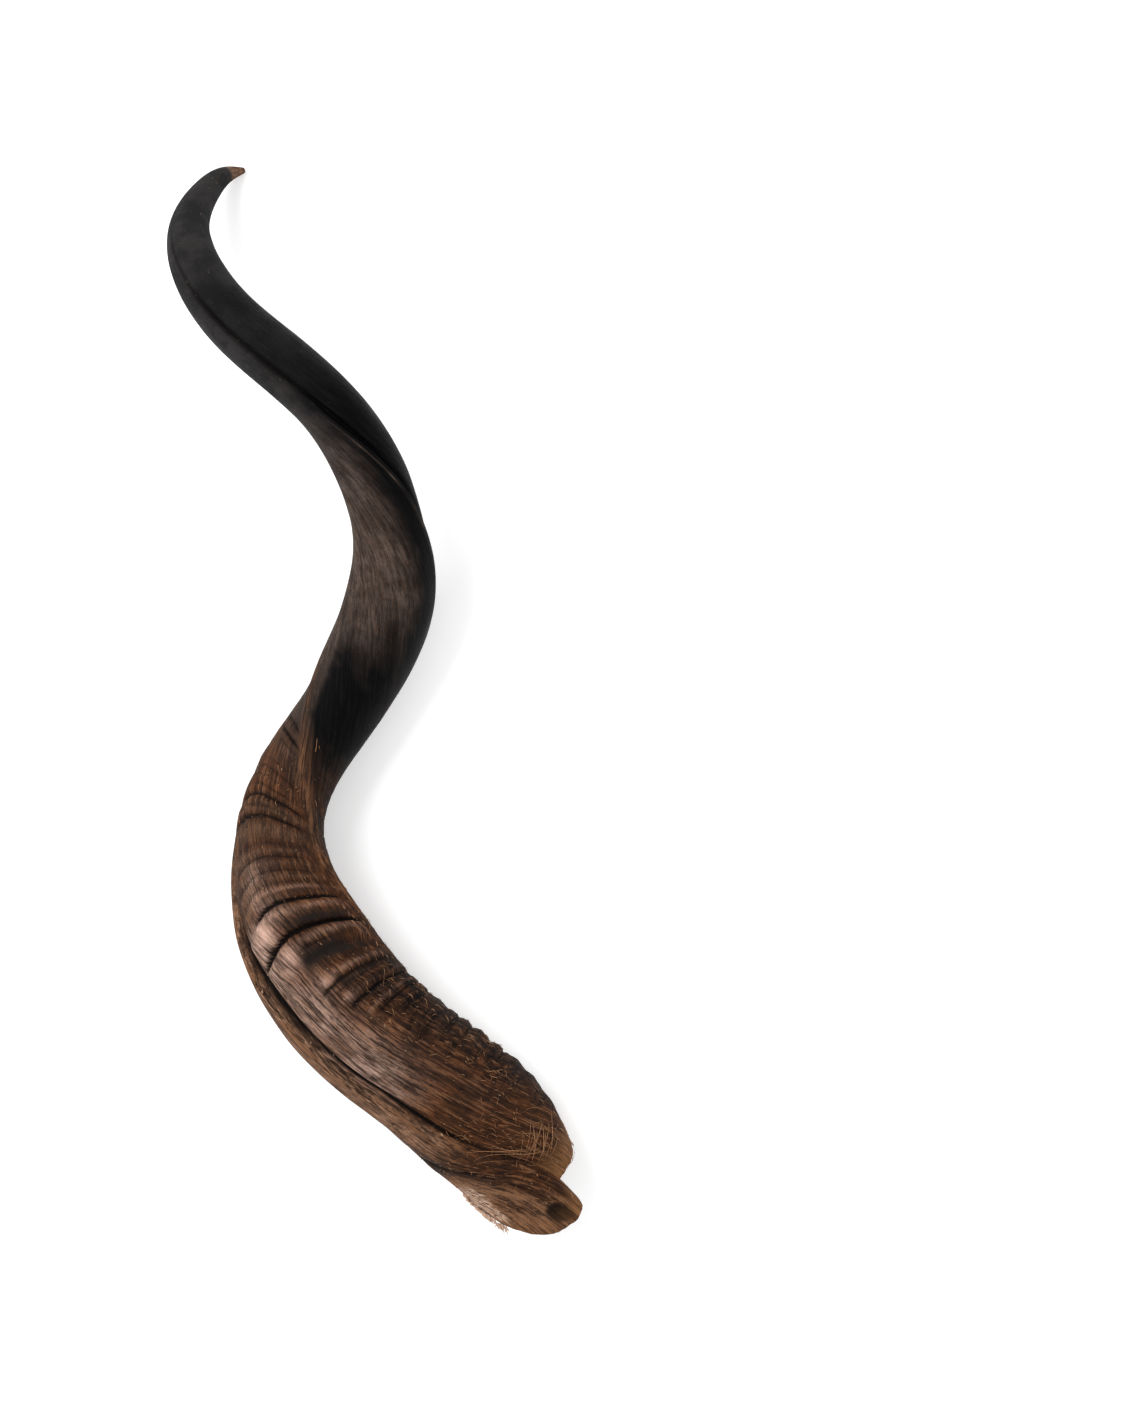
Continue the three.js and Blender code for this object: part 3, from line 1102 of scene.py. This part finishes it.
@dataclass
class Sheath:
    """The horn's sheath: a sheet rolled into a tube along the horn's line, with its skin and its hollow."""

    line: HornLine = field(default_factory=HornLine)
    columns: int = 176
    rim_rows: int = 96
    ring_step: float = 1.35
    plain_step: float = 3.2
    hollow_rows: int = 16
    rim_end: float = 150.0
    ring_end: float = 490.0
    rim_crowding: float = 1.05
    hollow_crowding: float = 1.4
    tip_length: float = 10.0
    tip_rows: int = 9
    lip_depth: float = 1.3
    lip_length: float = 7.0
    weld: float = 1e-6

    def __post_init__(self) -> None:
        """Sets the relief and the mouth on the line."""
        self.relief = Relief(self.line)
        self.mouth = Mouth()

    def bearings(self) -> Array:
        """Bearings past the keel for the columns, closest together at the crevice.

        Returns:
            Degrees from -180, one for each column, and 180 for the seam.
        """
        sample = np.linspace(-180, 180, 1441)
        density = 1 + 1.9 * bell(sample + 14, 16) + 0.5 * bell(sample - 82, 12)
        cumulative = np.concatenate([[0], np.cumsum((density[1:] + density[:-1]) / 2)])
        shares = np.arange(self.columns) / self.columns * cumulative[-1]
        return np.concatenate([np.interp(shares, cumulative, sample), [180.0]])

    def stations(self) -> tuple[Array, Array]:
        """Rows of the skin as shares of the way from the rim, and distances along past the rim's end.

        Returns:
            The shares for the first rows, and the distances for the rest.
        """
        shares = (np.arange(self.rim_rows) / self.rim_rows) ** self.rim_crowding
        ringed = np.arange(self.rim_end, self.ring_end, self.ring_step)
        tip_start = self.line.length - self.tip_length
        plain = np.arange(self.ring_end, tip_start, self.plain_step)
        tip = np.linspace(tip_start, self.line.length, self.tip_rows)
        return shares, np.concatenate([ringed, plain, tip])

    def roll_sheet(self, name: str, rows: int) -> bpy.types.Object:
        """Adds a flat sheet with one vertex for each row and column, to be rolled up.

        Args:
            name: The object's name.
            rows: Rows of vertices along the sheet.

        Returns:
            The sheet; its last column of vertices will meet its first.
        """
        bpy.ops.object.select_all(action="DESELECT")
        bpy.ops.mesh.primitive_grid_add(
            x_subdivisions=self.columns, y_subdivisions=rows - 1, size=1.0, location=(0, 0, 0)
        )
        sheet = bpy.context.object
        sheet.name = sheet.data.name = name
        return sheet

    def skin_points(self) -> tuple[Array, Array, Array]:
        """Places the skin's vertices.

        Returns:
            Distances along, bearings past the keel, and points in millimetres, by row and column.
        """
        b = self.bearings()
        shares, rest = self.stations()
        start = self.mouth.start(b)
        start[-1] = start[0]
        first = start[None, :] + shares[:, None] * (self.rim_end - start)[None, :]
        along = np.concatenate([first, np.repeat(rest[:, None], len(b), axis=1)])
        around = np.repeat(b[None, :], along.shape[0], axis=0)
        radius = self.line.oval(along, around) + self.relief.total(along, around)
        lip = np.clip((along - start[None, :]) / self.lip_length, 0, 1)
        radius -= self.lip_depth * (1 - lip) ** 2
        gap = self.line.gap(along)
        lean = 5.0 * bell(around + 0.45 * gap, 6.5) * stretch(along, 110, 170, 330, 420)
        return along, around, self.line.place(along, around - lean, radius)

    def hollow_points(self, start: Array) -> tuple[Array, Array, Array]:
        """Places the hollow's vertices, from the rim inwards.

        Args:
            start: Distances along of the rim, by column.

        Returns:
            Distances along, bearings past the keel, and points in millimetres, by row and column.
        """
        b = self.bearings()
        shares = (np.arange(self.hollow_rows) / self.hollow_rows) ** self.hollow_crowding
        along = start[None, :] + shares[:, None] * (self.mouth.hollow_end - start)[None, :]
        around = np.repeat(b[None, :], along.shape[0], axis=0)
        radius = self.mouth.inside(self.line, along, around)
        return along, around, self.line.place(along, around, radius)

    def build(self) -> bpy.types.Object:
        """Rolls the sheet, joins its seam, closes its tip and the end of the hollow.

        Returns:
            The sheath.
        """
        along, around, skin = self.skin_points()
        inner_along, inner_around, hollow = self.hollow_points(along[0])
        all_along = np.concatenate([inner_along[::-1], along])
        all_around = np.concatenate([inner_around[::-1], around])
        points = np.concatenate([hollow[::-1], skin])
        points[..., 2] = np.maximum(points[..., 2], 0.0)
        points[:, -1] = points[:, 0]
        inside = np.zeros(all_along.shape)
        inside[: self.hollow_rows] = 1.0
        sheath = self.roll_sheet("horn_sheath", all_along.shape[0])
        flat = np.empty(len(sheath.data.vertices) * 3)
        sheath.data.vertices.foreach_get("co", flat)
        flat = flat.reshape(-1, 3)
        column = np.rint((flat[:, 0] + 0.5) * self.columns).astype(int)
        row = np.rint((flat[:, 1] + 0.5) * (all_along.shape[0] - 1)).astype(int)
        sheath.data.vertices.foreach_set("co", (points[row, column] * MM).ravel())
        self.paint(sheath, all_along[row, column], all_around[row, column], inside[row, column])
        self.close()
        return sheath

    def close(self) -> None:
        """Merges the seam of the rolled sheet, the active piece, and fills the tip and the hollow's end."""
        bpy.ops.object.mode_set(mode="EDIT")
        bpy.ops.mesh.select_all(action="SELECT")
        bpy.ops.mesh.remove_doubles(threshold=self.weld)
        bpy.ops.mesh.select_all(action="DESELECT")
        bpy.ops.mesh.select_mode(type="EDGE")
        bpy.ops.mesh.select_non_manifold(extend=False)
        bpy.ops.mesh.edge_face_add()
        face_outward()

    def masks(self, along: Array, b: Array, inside: Array) -> dict[Layer, Array]:
        """Works out where each tone of the finish lies.

        Args:
            along: Distances along, in millimetres.
            b: Bearings past the keel, in degrees.
            inside: 1 on the hollow's wall, 0 on the skin.

        Returns:
            One value from 0 to 1 for each vertex and layer.
        """
        relief = self.relief
        gap = self.line.gap(along)
        level = relief.level(along, b)
        off = wrap(b - lines(relief.ridge_round, along))
        wander = relief.wobble(along, b) + 0.5 * relief.ripple(along, b)
        skin = 1 - inside
        ringed = stretch(-b, 26, 50, 146, 172)
        # Painted light and shade of the rings, as shares.
        ring_shading = lines(relief.ring_light_and_shade, level) * ringed * smooth(along, 318, 330)
        shades = relief.cut(relief.shades, along, b)
        black = self.black(along, b, off, wander)
        recess = self.recess(along, b, gap, level)
        # Painted highlight on the folds' crests and bulbs.
        folds = np.maximum.reduce([fold.painted_highlight(level, wrap(b)) for fold in relief.folds])
        # lip and spots: a painted highlight line along the keel's crest, and flecks of painted highlight on
        # the crevice's edge towards the keel. Both go into the highlight mask and are taken out of the
        # black.
        lip = bell(b + 1.0, 1.5) * stretch(along, 630, 650, 742, 760)
        spots = bell(b + gap - 3.5, 1.7) * stretch(along, 750, 765, 850, 870)
        lip = np.maximum(lip, 1.6 * spots * smooth(relief.ripple(along * 1.5, b), -0.2, 0.3))
        lip = lip * np.clip(0.62 + 0.6 * relief.ripple(along, b), 0, 1)
        crest = np.maximum(folds, 0.13 * lip)
        # Painted shade inside the lobe's hollow.
        valley = smooth(-relief.lobe_lines(along, b), 0.1, 1.0)
        valley = valley * (1 - smooth(relief.lobe_reach(along, b), 0.6, 1.0))
        scaly = bell(along - 120, 24) * stretch(b, 2, 12, 26, 48) * (0.6 + 0.5 * wander)
        scaly = np.maximum(scaly, 0.6 * bell(along - 92, 42) * bell(b - 7, 8) * (0.8 + 0.6 * wander))
        worn = 0.5 * stretch(along, 322, 345, 520, 620) * (0.8 + 0.6 * wander)
        back = 0.55 * bell(b + 142, 20) * stretch(along, 395, 430, 500, 560)
        # Painted shade on the base's side that faces away from the key light.
        shaded_side = 0.66 * smooth(-b, 84, 140) * (1 - smooth(along, 225, 300)) * (0.8 + 0.5 * wander)
        low = 0.45 * stretch(along, 76, 110, 116, 150) * smooth(-b, 84, 110)
        deep = 0.34 * bell(b + 78, 28) * stretch(along, 100, 132, 184, 214)
        # Painted shade in the grooves between the rings.
        ring_shade = np.clip(-ring_shading * (0.78 + 0.3 * wander), 0, 1)
        uneven = 0.96 + 0.2 * wander + 0.14 * relief.lump(along * 2.6, b * 2)
        worn = worn * (1 - ringed * 0.25)
        # Painted shade below the folds, in the lobe's hollow, between the rings and on the base's far side,
        # together with other darker patches.
        shade = [shades * uneven, scaly, valley, shaded_side, low, ring_shade, worn, back, deep]
        shade = np.maximum.reduce(shade)
        thin = 1 - smooth(along - lines(self.mouth.rim, b) + 3 * wander, 2, 27)
        side = np.where(b < -19, 1.0, np.where(b < 3, 0.7, 0.25)) + 0.6 * bell(b - 78, 16)
        corner = 0.6 * bell(b + 6, 11) * (1 - smooth(along, 22, 52))
        tip = smooth(along + 1.5 * wander, 1018.5, 1022.5)
        amber = thin * np.clip(side, 0, 1) * (0.75 + 0.3 * wander)
        on_ridge = bell(off - 2, 5.5) * stretch(along, 240, 350, 520, 600) * (0.6 + 0.4 * wander)
        on_ridge = np.maximum(on_ridge, corner)
        grey = smooth(along, 412, 490) * (1 - on_ridge)
        pale = bell(b + 38, 30) * smooth(-b, 8, 20) * smooth(along, 146, 216) * (1 - smooth(level, 318, 336))
        flank = bell(b + 74, 24) * stretch(along, 296, 320, 354, 376)
        pale = np.maximum(pale * (0.92 + 0.3 * wander), 0.42 * flank)
        keel = smooth(b + gap, 1, 7) * (1 - smooth(b, 24, 58)) * smooth(along, 96, 150)
        keel = keel * (1 - smooth(along, 350, 430)) * (0.92 + 0.25 * wander)
        # Painted highlight on the rings, drawn in the keel's tan.
        ring_highlight = np.clip(ring_shading, 0, 1) * (0.54 + 0.36 * bell(b + 56, 20)) * (0.8 + 0.6 * wander)
        lobe = 0.95 * smooth(b, 9, 24) * (1 - smooth(along, 84, 112)) * (0.8 + 0.5 * wander)
        keel = np.maximum.reduce([keel, ring_highlight * (1 - 0.5 * smooth(along, 400, 440)), lobe])
        torn = lines([(20, 63), (40, 55), (60, 43), (84, 27)], along)
        fray = smooth(b - torn + 6 * wander, -2, 5) * (1 - smooth(along, 70, 88)) * (1 - smooth(b, 100, 125))
        fray = 0.85 * fray * smooth(along, 22, 38)
        ash = smooth(along + 18 * wander, 665, 790)
        rough = smooth(-b, 76, 122) * stretch(along, 50, 76, 238, 268)
        under = 0.5 * smooth(b, 66, 110) * stretch(along, 50, 76, 300, 400)
        return {
            # The black gives way to the painted highlight line along the keel's crest.
            Layer.BLACK: np.clip(black * skin * (1 - tip) * (1 - 0.6 * lip), 0, 1),
            Layer.RECESS_SHADE: recess * skin * (1 - tip),
            Layer.PAINTED_HIGHLIGHT: np.clip(crest, 0, 1) * (1 - recess) * skin,
            Layer.AMBER: np.clip(amber, 0, 1),
            Layer.RIDGE: np.clip(np.maximum(on_ridge, 0.9 * lobe), 0, 1) * skin,
            Layer.GREY: np.clip(grey, 0, 1) * skin,
            Layer.FACE: np.clip(pale, 0, 1) * skin,
            Layer.KEEL: np.clip(np.maximum(keel, 0.75 * tip), 0, 1) * skin,
            Layer.SHADE: np.clip(shade, 0, 1) * skin * (1 - smooth(folds, 0.12, 0.7)),
            Layer.ROUGH: np.clip(np.maximum(rough, under), 0, 1) * skin,
            Layer.ASH: ash * skin * (1 - tip),
            Layer.FRAY: np.clip(fray, 0, 1) * skin,
            Layer.RINGED: stretch(along, 300, 335, 470, 520) * (1 - on_ridge) * skin,
            Layer.BORE: inside,
        }

    def black(self, along: Array, b: Array, off: Array, wander: Array) -> Array:
        """The black of the upper horn and of the long patch beyond the blunt ridge.

        Args:
            along: Distances along, in millimetres.
            b: Bearings past the keel, in degrees.
            off: Bearings past the blunt ridge, in degrees.
            wander: Slow random values that keep the edges from being straight.

        Returns:
            Shares from 0 to 1.
        """
        near = lines([(480, 6), (510, 18), (545, 42), (600, 66)], along) + 6 * wander
        beyond = stretch(-off, near, near + 14, 130, 175)
        fade = 1 - smooth(along + 16 * wander + 0.5 * wrap(off + 110), 540, 588)
        start = smooth(along + 24 * wander, 352, 432)
        patch = beyond * (0.6 + 0.4 * smooth(along + 8 * wander, 430, 470)) * start * fade
        edge = lines([(700, 0), (740, 1), (790, 7.5)], along)
        front = stretch(-b, edge, edge + 5, 150, 175)
        front = front * stretch(along, 590, 650, 830, 930) * (1 - 0.3 * smooth(along, 740, 800))
        side = lines([(480, 110), (560, 74), (600, 56), (650, 46), (700, 30), (750, 10), (800, -8)], along)
        side = side + 8 * wander
        crest = stretch(b, -20, -4, side - 30, side + 22) * smooth(along, 470, 540)
        return np.clip(np.maximum.reduce([patch, front, crest * (1 - smooth(along, 780, 830))]), 0, 1)

    def recess(self, along: Array, b: Array, gap: Array, level: Array) -> Array:
        """Painted shade in the crevice, the grooves, the fine wrinkles and the lobe's hollow and furrows.

        Args:
            along: Distances along, in millimetres.
            b: Bearings past the keel, in degrees.
            gap: Angles from the keel's crest to the crevice, in degrees.
            level: Distances along, levelled to the rings' bow, in millimetres.

        Returns:
            Shares from 0 to 1.
        """
        relief = self.relief
        past = b + gap
        narrow = [(100, 1.8), (220, 2.4), (300, 3.6), (400, 3), (600, 2), (740, 1.2), (880, 1.2)]
        narrow = lines(narrow, along)
        wide = lines([(190, 1.0), (250, 1.5), (300, 1.9), (328, 1.8), (350, 1.0)], along) * narrow
        crevice = stretch(past, -1.8 * narrow, -0.4 * narrow, 0.6 * wide, wide + 1.2)
        crevice = crevice * stretch(along, 98, 124, 860, 880)
        low_line = bell(past, 2.4) * smooth(along, 50, 80) * 0.7
        grooves = smooth(relief.cut(relief.grooves, along, b), 0.2, 1.3)
        reach = relief.lobe_reach(along, b)
        furrows = 0.8 * smooth(-relief.lobe_lines(along, b), 0.5, 1.7) * smooth(reach, 0.95, 1.25)
        # Painted shade inside the lobe's hollow.
        hollow = (0.74 + 0.26 * relief.fibre(along, b * 1.4)) * (1 - smooth(reach, 0.5, 1.05))
        wrinkles = smooth(relief.wrinkle(level, b * 0.7), 0.12, 0.62) * smooth(-b, 70, 124)
        wrinkles = 0.65 * wrinkles * stretch(along, 84, 120, 240, 300)
        return np.clip(np.maximum.reduce([crevice, low_line, grooves, furrows, hollow, wrinkles]), 0, 1)

    def paint(self, sheath: bpy.types.Object, along: Array, b: Array, inside: Array) -> None:
        """Writes the masks and the place in the straightened horn to the mesh.

        Args:
            sheath: The sheath.
            along: Distances along by vertex, in millimetres.
            b: Bearings past the keel by vertex, in degrees.
            inside: 1 on the hollow's wall, 0 on the skin.
        """
        for layer, values in self.masks(along, b, inside).items():
            write_attribute(sheath.data, layer.value, values)
        radius = self.line.oval(along, b)
        angle = np.radians(b)
        level = along + self.relief.bow(b) * smooth(-b, 10, 60) * (1 - smooth(along, 430, 500))
        straight = np.stack([radius * np.cos(angle), radius * np.sin(angle), level], -1) * MM
        write_attribute(sheath.data, "straight", straight)


@dataclass
class LooseFibres:
    """Hair-fine fibres that have lifted from the skin, lying close along it."""

    sheath: Sheath
    count: int = 560
    sides: int = 3
    steps: int = 6
    seed: int = 77

    def build(self) -> bpy.types.Object:
        """Lays the fibres over the skin.

        Returns:
            The fibres, as one piece.
        """
        rng = np.random.default_rng(self.seed)
        vertices: list[Array] = []
        faces: list[tuple[int, ...]] = []
        straight: list[Array] = []
        pale: list[Array] = []
        line, relief = self.sheath.line, self.sheath.relief
        for _ in range(self.count):
            along, b, length, slant, curl, width = self.draw(rng)
            t = np.linspace(0, 1, self.steps)
            radius = float(line.oval(along, b))
            run = along + length * t * math.cos(slant) + curl * np.sin(t * math.pi)
            turn = b + np.degrees(length * math.sin(slant) / radius) * t + curl * 2.0 * np.cos(t * 4.0)
            run = np.maximum(run, self.sheath.mouth.start(turn) + 0.6) if width < 1 else run
            lift = width * 0.4 + rng.uniform(0, 0.8) * np.sin(t * math.pi) ** 2
            outside = line.oval(run, turn) + relief.total(run, turn) + lift
            spine = line.place(run, turn, outside)
            _, up, left = line.axes(run)
            thick = width * np.sin((t * 0.92 + 0.04) * math.pi) ** 0.5
            thick = thick * (1 - 0.75 * t) if width > 1 else thick
            first = len(vertices) * self.steps
            for side in range(self.sides):
                angle = 2 * math.pi * side / self.sides
                normal = up * math.cos(angle) + left * math.sin(angle)
                vertices.append(spine + normal * (0.5 * thick)[:, None])
                straight.append(np.stack([np.full(self.steps, along), np.full(self.steps, b), t], -1))
                pale.append(np.full(self.steps, float(width > 1)))
            faces.extend(self.faces(first))
        points = np.concatenate(vertices)
        points[:, 2] = np.maximum(points[:, 2], 0.2)
        mesh = bpy.data.meshes.new("loose_fibres")
        mesh.from_pydata((points * MM).tolist(), [], faces)
        mesh.update()
        write_attribute(mesh, "straight", np.concatenate(straight))
        write_attribute(mesh, Layer.FRAY.value, np.concatenate(pale))
        fibres = bpy.data.objects.new("loose_fibres", mesh)
        bpy.context.scene.collection.objects.link(fibres)
        bpy.context.view_layer.objects.active = fibres
        bpy.ops.object.select_all(action="DESELECT")
        fibres.select_set(True)
        face_outward()
        return fibres

    def faces(self, first: int) -> list[tuple[int, ...]]:
        """The faces of one fibre.

        Args:
            first: The number of its first vertex.

        Returns:
            The vertices of each face.
        """
        edges = [first + side * self.steps for side in range(self.sides)]
        faces: list[tuple[int, ...]] = []
        for here, there in zip(edges, edges[1:] + edges[:1]):
            for step in range(self.steps - 1):
                faces.append((here + step, here + step + 1, there + step + 1, there + step))
        faces.append(tuple(edges))
        faces.append(tuple(edge + self.steps - 1 for edge in reversed(edges)))
        return faces

    def draw(self, rng: np.random.Generator) -> tuple[float, float, float, float, float, float]:
        """Draws one fibre's place and shape.

        Args:
            rng: The source of random numbers.

        Returns:
            Distance along, bearing past the keel, length, slant, curl and width.
        """
        kind = rng.uniform()
        length, slant, curl, width = rng.uniform(2.0, 6.5), rng.normal(0.1, 0.45), rng.normal(0, 0.3), 0.5
        if kind < 0.045:
            along, b, length = rng.uniform(60, 78), rng.uniform(-48, -24), rng.uniform(20, 44)
            slant, curl, width = rng.normal(-1.1, 0.12), rng.uniform(-2.0, 2.0), 0.74
        elif kind < 0.09:
            along, b, length, curl = rng.uniform(54, 112), rng.uniform(-84, -34), rng.uniform(9, 24), 3.4
            slant = rng.normal(1.1, 0.8)
        elif kind < 0.22:
            edge = rng.uniform(25, 64)
            b = float(lines([(13, 58), (29, 78), (60, 85), (64, 92)], edge)) - rng.uniform(1, 5)
            along = edge + rng.uniform(0, 3)
            length, slant, width = rng.uniform(5, 12), rng.uniform(2.0, 2.8), rng.uniform(1.8, 3.4)
        elif kind < 0.66:
            along, b = rng.uniform(22, 130), rng.uniform(-105, 78)
        elif kind < 0.9:
            along, b = rng.uniform(120, 245), rng.uniform(-178, -84)
        elif kind < 0.96:
            along, b = rng.uniform(245, 330), rng.uniform(-185, -142)
        else:
            along, b = rng.uniform(330, 470), rng.uniform(-190, -60)
        if rng.uniform() < 0.3 and width < 1:
            slant += math.pi / 2
        return along, b, length, slant, curl, width * rng.uniform(0.6, 1.3)


@dataclass
class Studio:
    """The pale floor, the soft lights and the camera straight above."""

    aim: tuple[float, float] = (0.140, -0.006)
    height: float = 2.2
    frame_height: float = 1402 * 0.00075 * 2.2 / 2.12
    sensor: float = 24.0
    reach: float = 50.0
    floor_side: float = 12.0
    lamp_aim: tuple[float, float, float] = (0.0, 0.0, 0.05)
    sky_strength: float = 0.85

    def floor(self) -> None:
        """Lays the floor just under the horn."""
        bpy.ops.object.select_all(action="DESELECT")
        bpy.ops.mesh.primitive_plane_add(size=self.floor_side, location=(0, 0, 0))
        plane = bpy.context.object
        plane.name = "floor"
        plane.data.materials.append(PaleFloor().make())

    def light(self, name: str, place: tuple[float, float, float], size: float, power: float) -> None:
        """Adds one soft light that faces the horn.

        Args:
            name: The light's name.
            place: Where it hangs, in metres.
            size: The side of its square, in metres.
            power: Its power, in watts.
        """
        bpy.ops.object.light_add(type="AREA", location=place)
        lamp = bpy.context.object
        lamp.name = name
        lamp.data.energy = power
        lamp.data.size = size
        aim = Vector(self.lamp_aim) - Vector(place)
        lamp.rotation_euler = aim.to_track_quat("-Z", "Y").to_euler()

    def lights(self) -> None:
        """Hangs the lights: a large one from the upper left, a fill and a white sky."""
        self.light("key", (-1.5, 1.1, 2.3), 1.5, 62)
        self.light("fill", (1.6, -1.4, 2.2), 2.4, 10)
        bpy.context.scene.view_settings.view_transform = "Standard"
        world = bpy.data.worlds.new("white_room")
        bpy.context.scene.world = world
        world.use_nodes = True
        sky = world.node_tree.nodes["Background"]
        sky.inputs["Color"].default_value = (1, 1, 1, 1)
        sky.inputs["Strength"].default_value = self.sky_strength

    def camera(self) -> None:
        """Sets the camera straight above, its frame upright along the horn."""
        data = bpy.data.cameras.new("camera")
        camera = bpy.data.objects.new("camera", data)
        bpy.context.scene.collection.objects.link(camera)
        camera.location = (*self.aim, self.height)
        data.sensor_fit = "VERTICAL"
        data.sensor_height = self.sensor
        data.lens = self.sensor * self.height / self.frame_height
        data.clip_end = self.reach
        bpy.context.scene.camera = camera

    def build(self) -> None:
        """Builds the whole set."""
        self.floor()
        self.lights()
        self.camera()


def dress(piece: bpy.types.Object, material: bpy.types.Material) -> None:
    """Gives a piece its material and body, hides the imported node it stands in for, and reports it.

    Args:
        piece: The finished piece.
        material: Its material.
    """
    piece.data.materials.clear()
    piece.data.materials.append(material)
    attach(piece, BODY)
    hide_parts(NODE)
    LOG.info("%s: %d faces", piece.name, len(piece.data.polygons))


def main() -> None:
    """Builds the horn and its set, and logs each piece's face count."""
    sheath = Sheath()
    dress(sheath.build(), KeratinFinish().make())
    dress(LooseFibres(sheath).build(), FibreFinish().make())
    Studio().build()


if __name__ == "__main__":
    main()
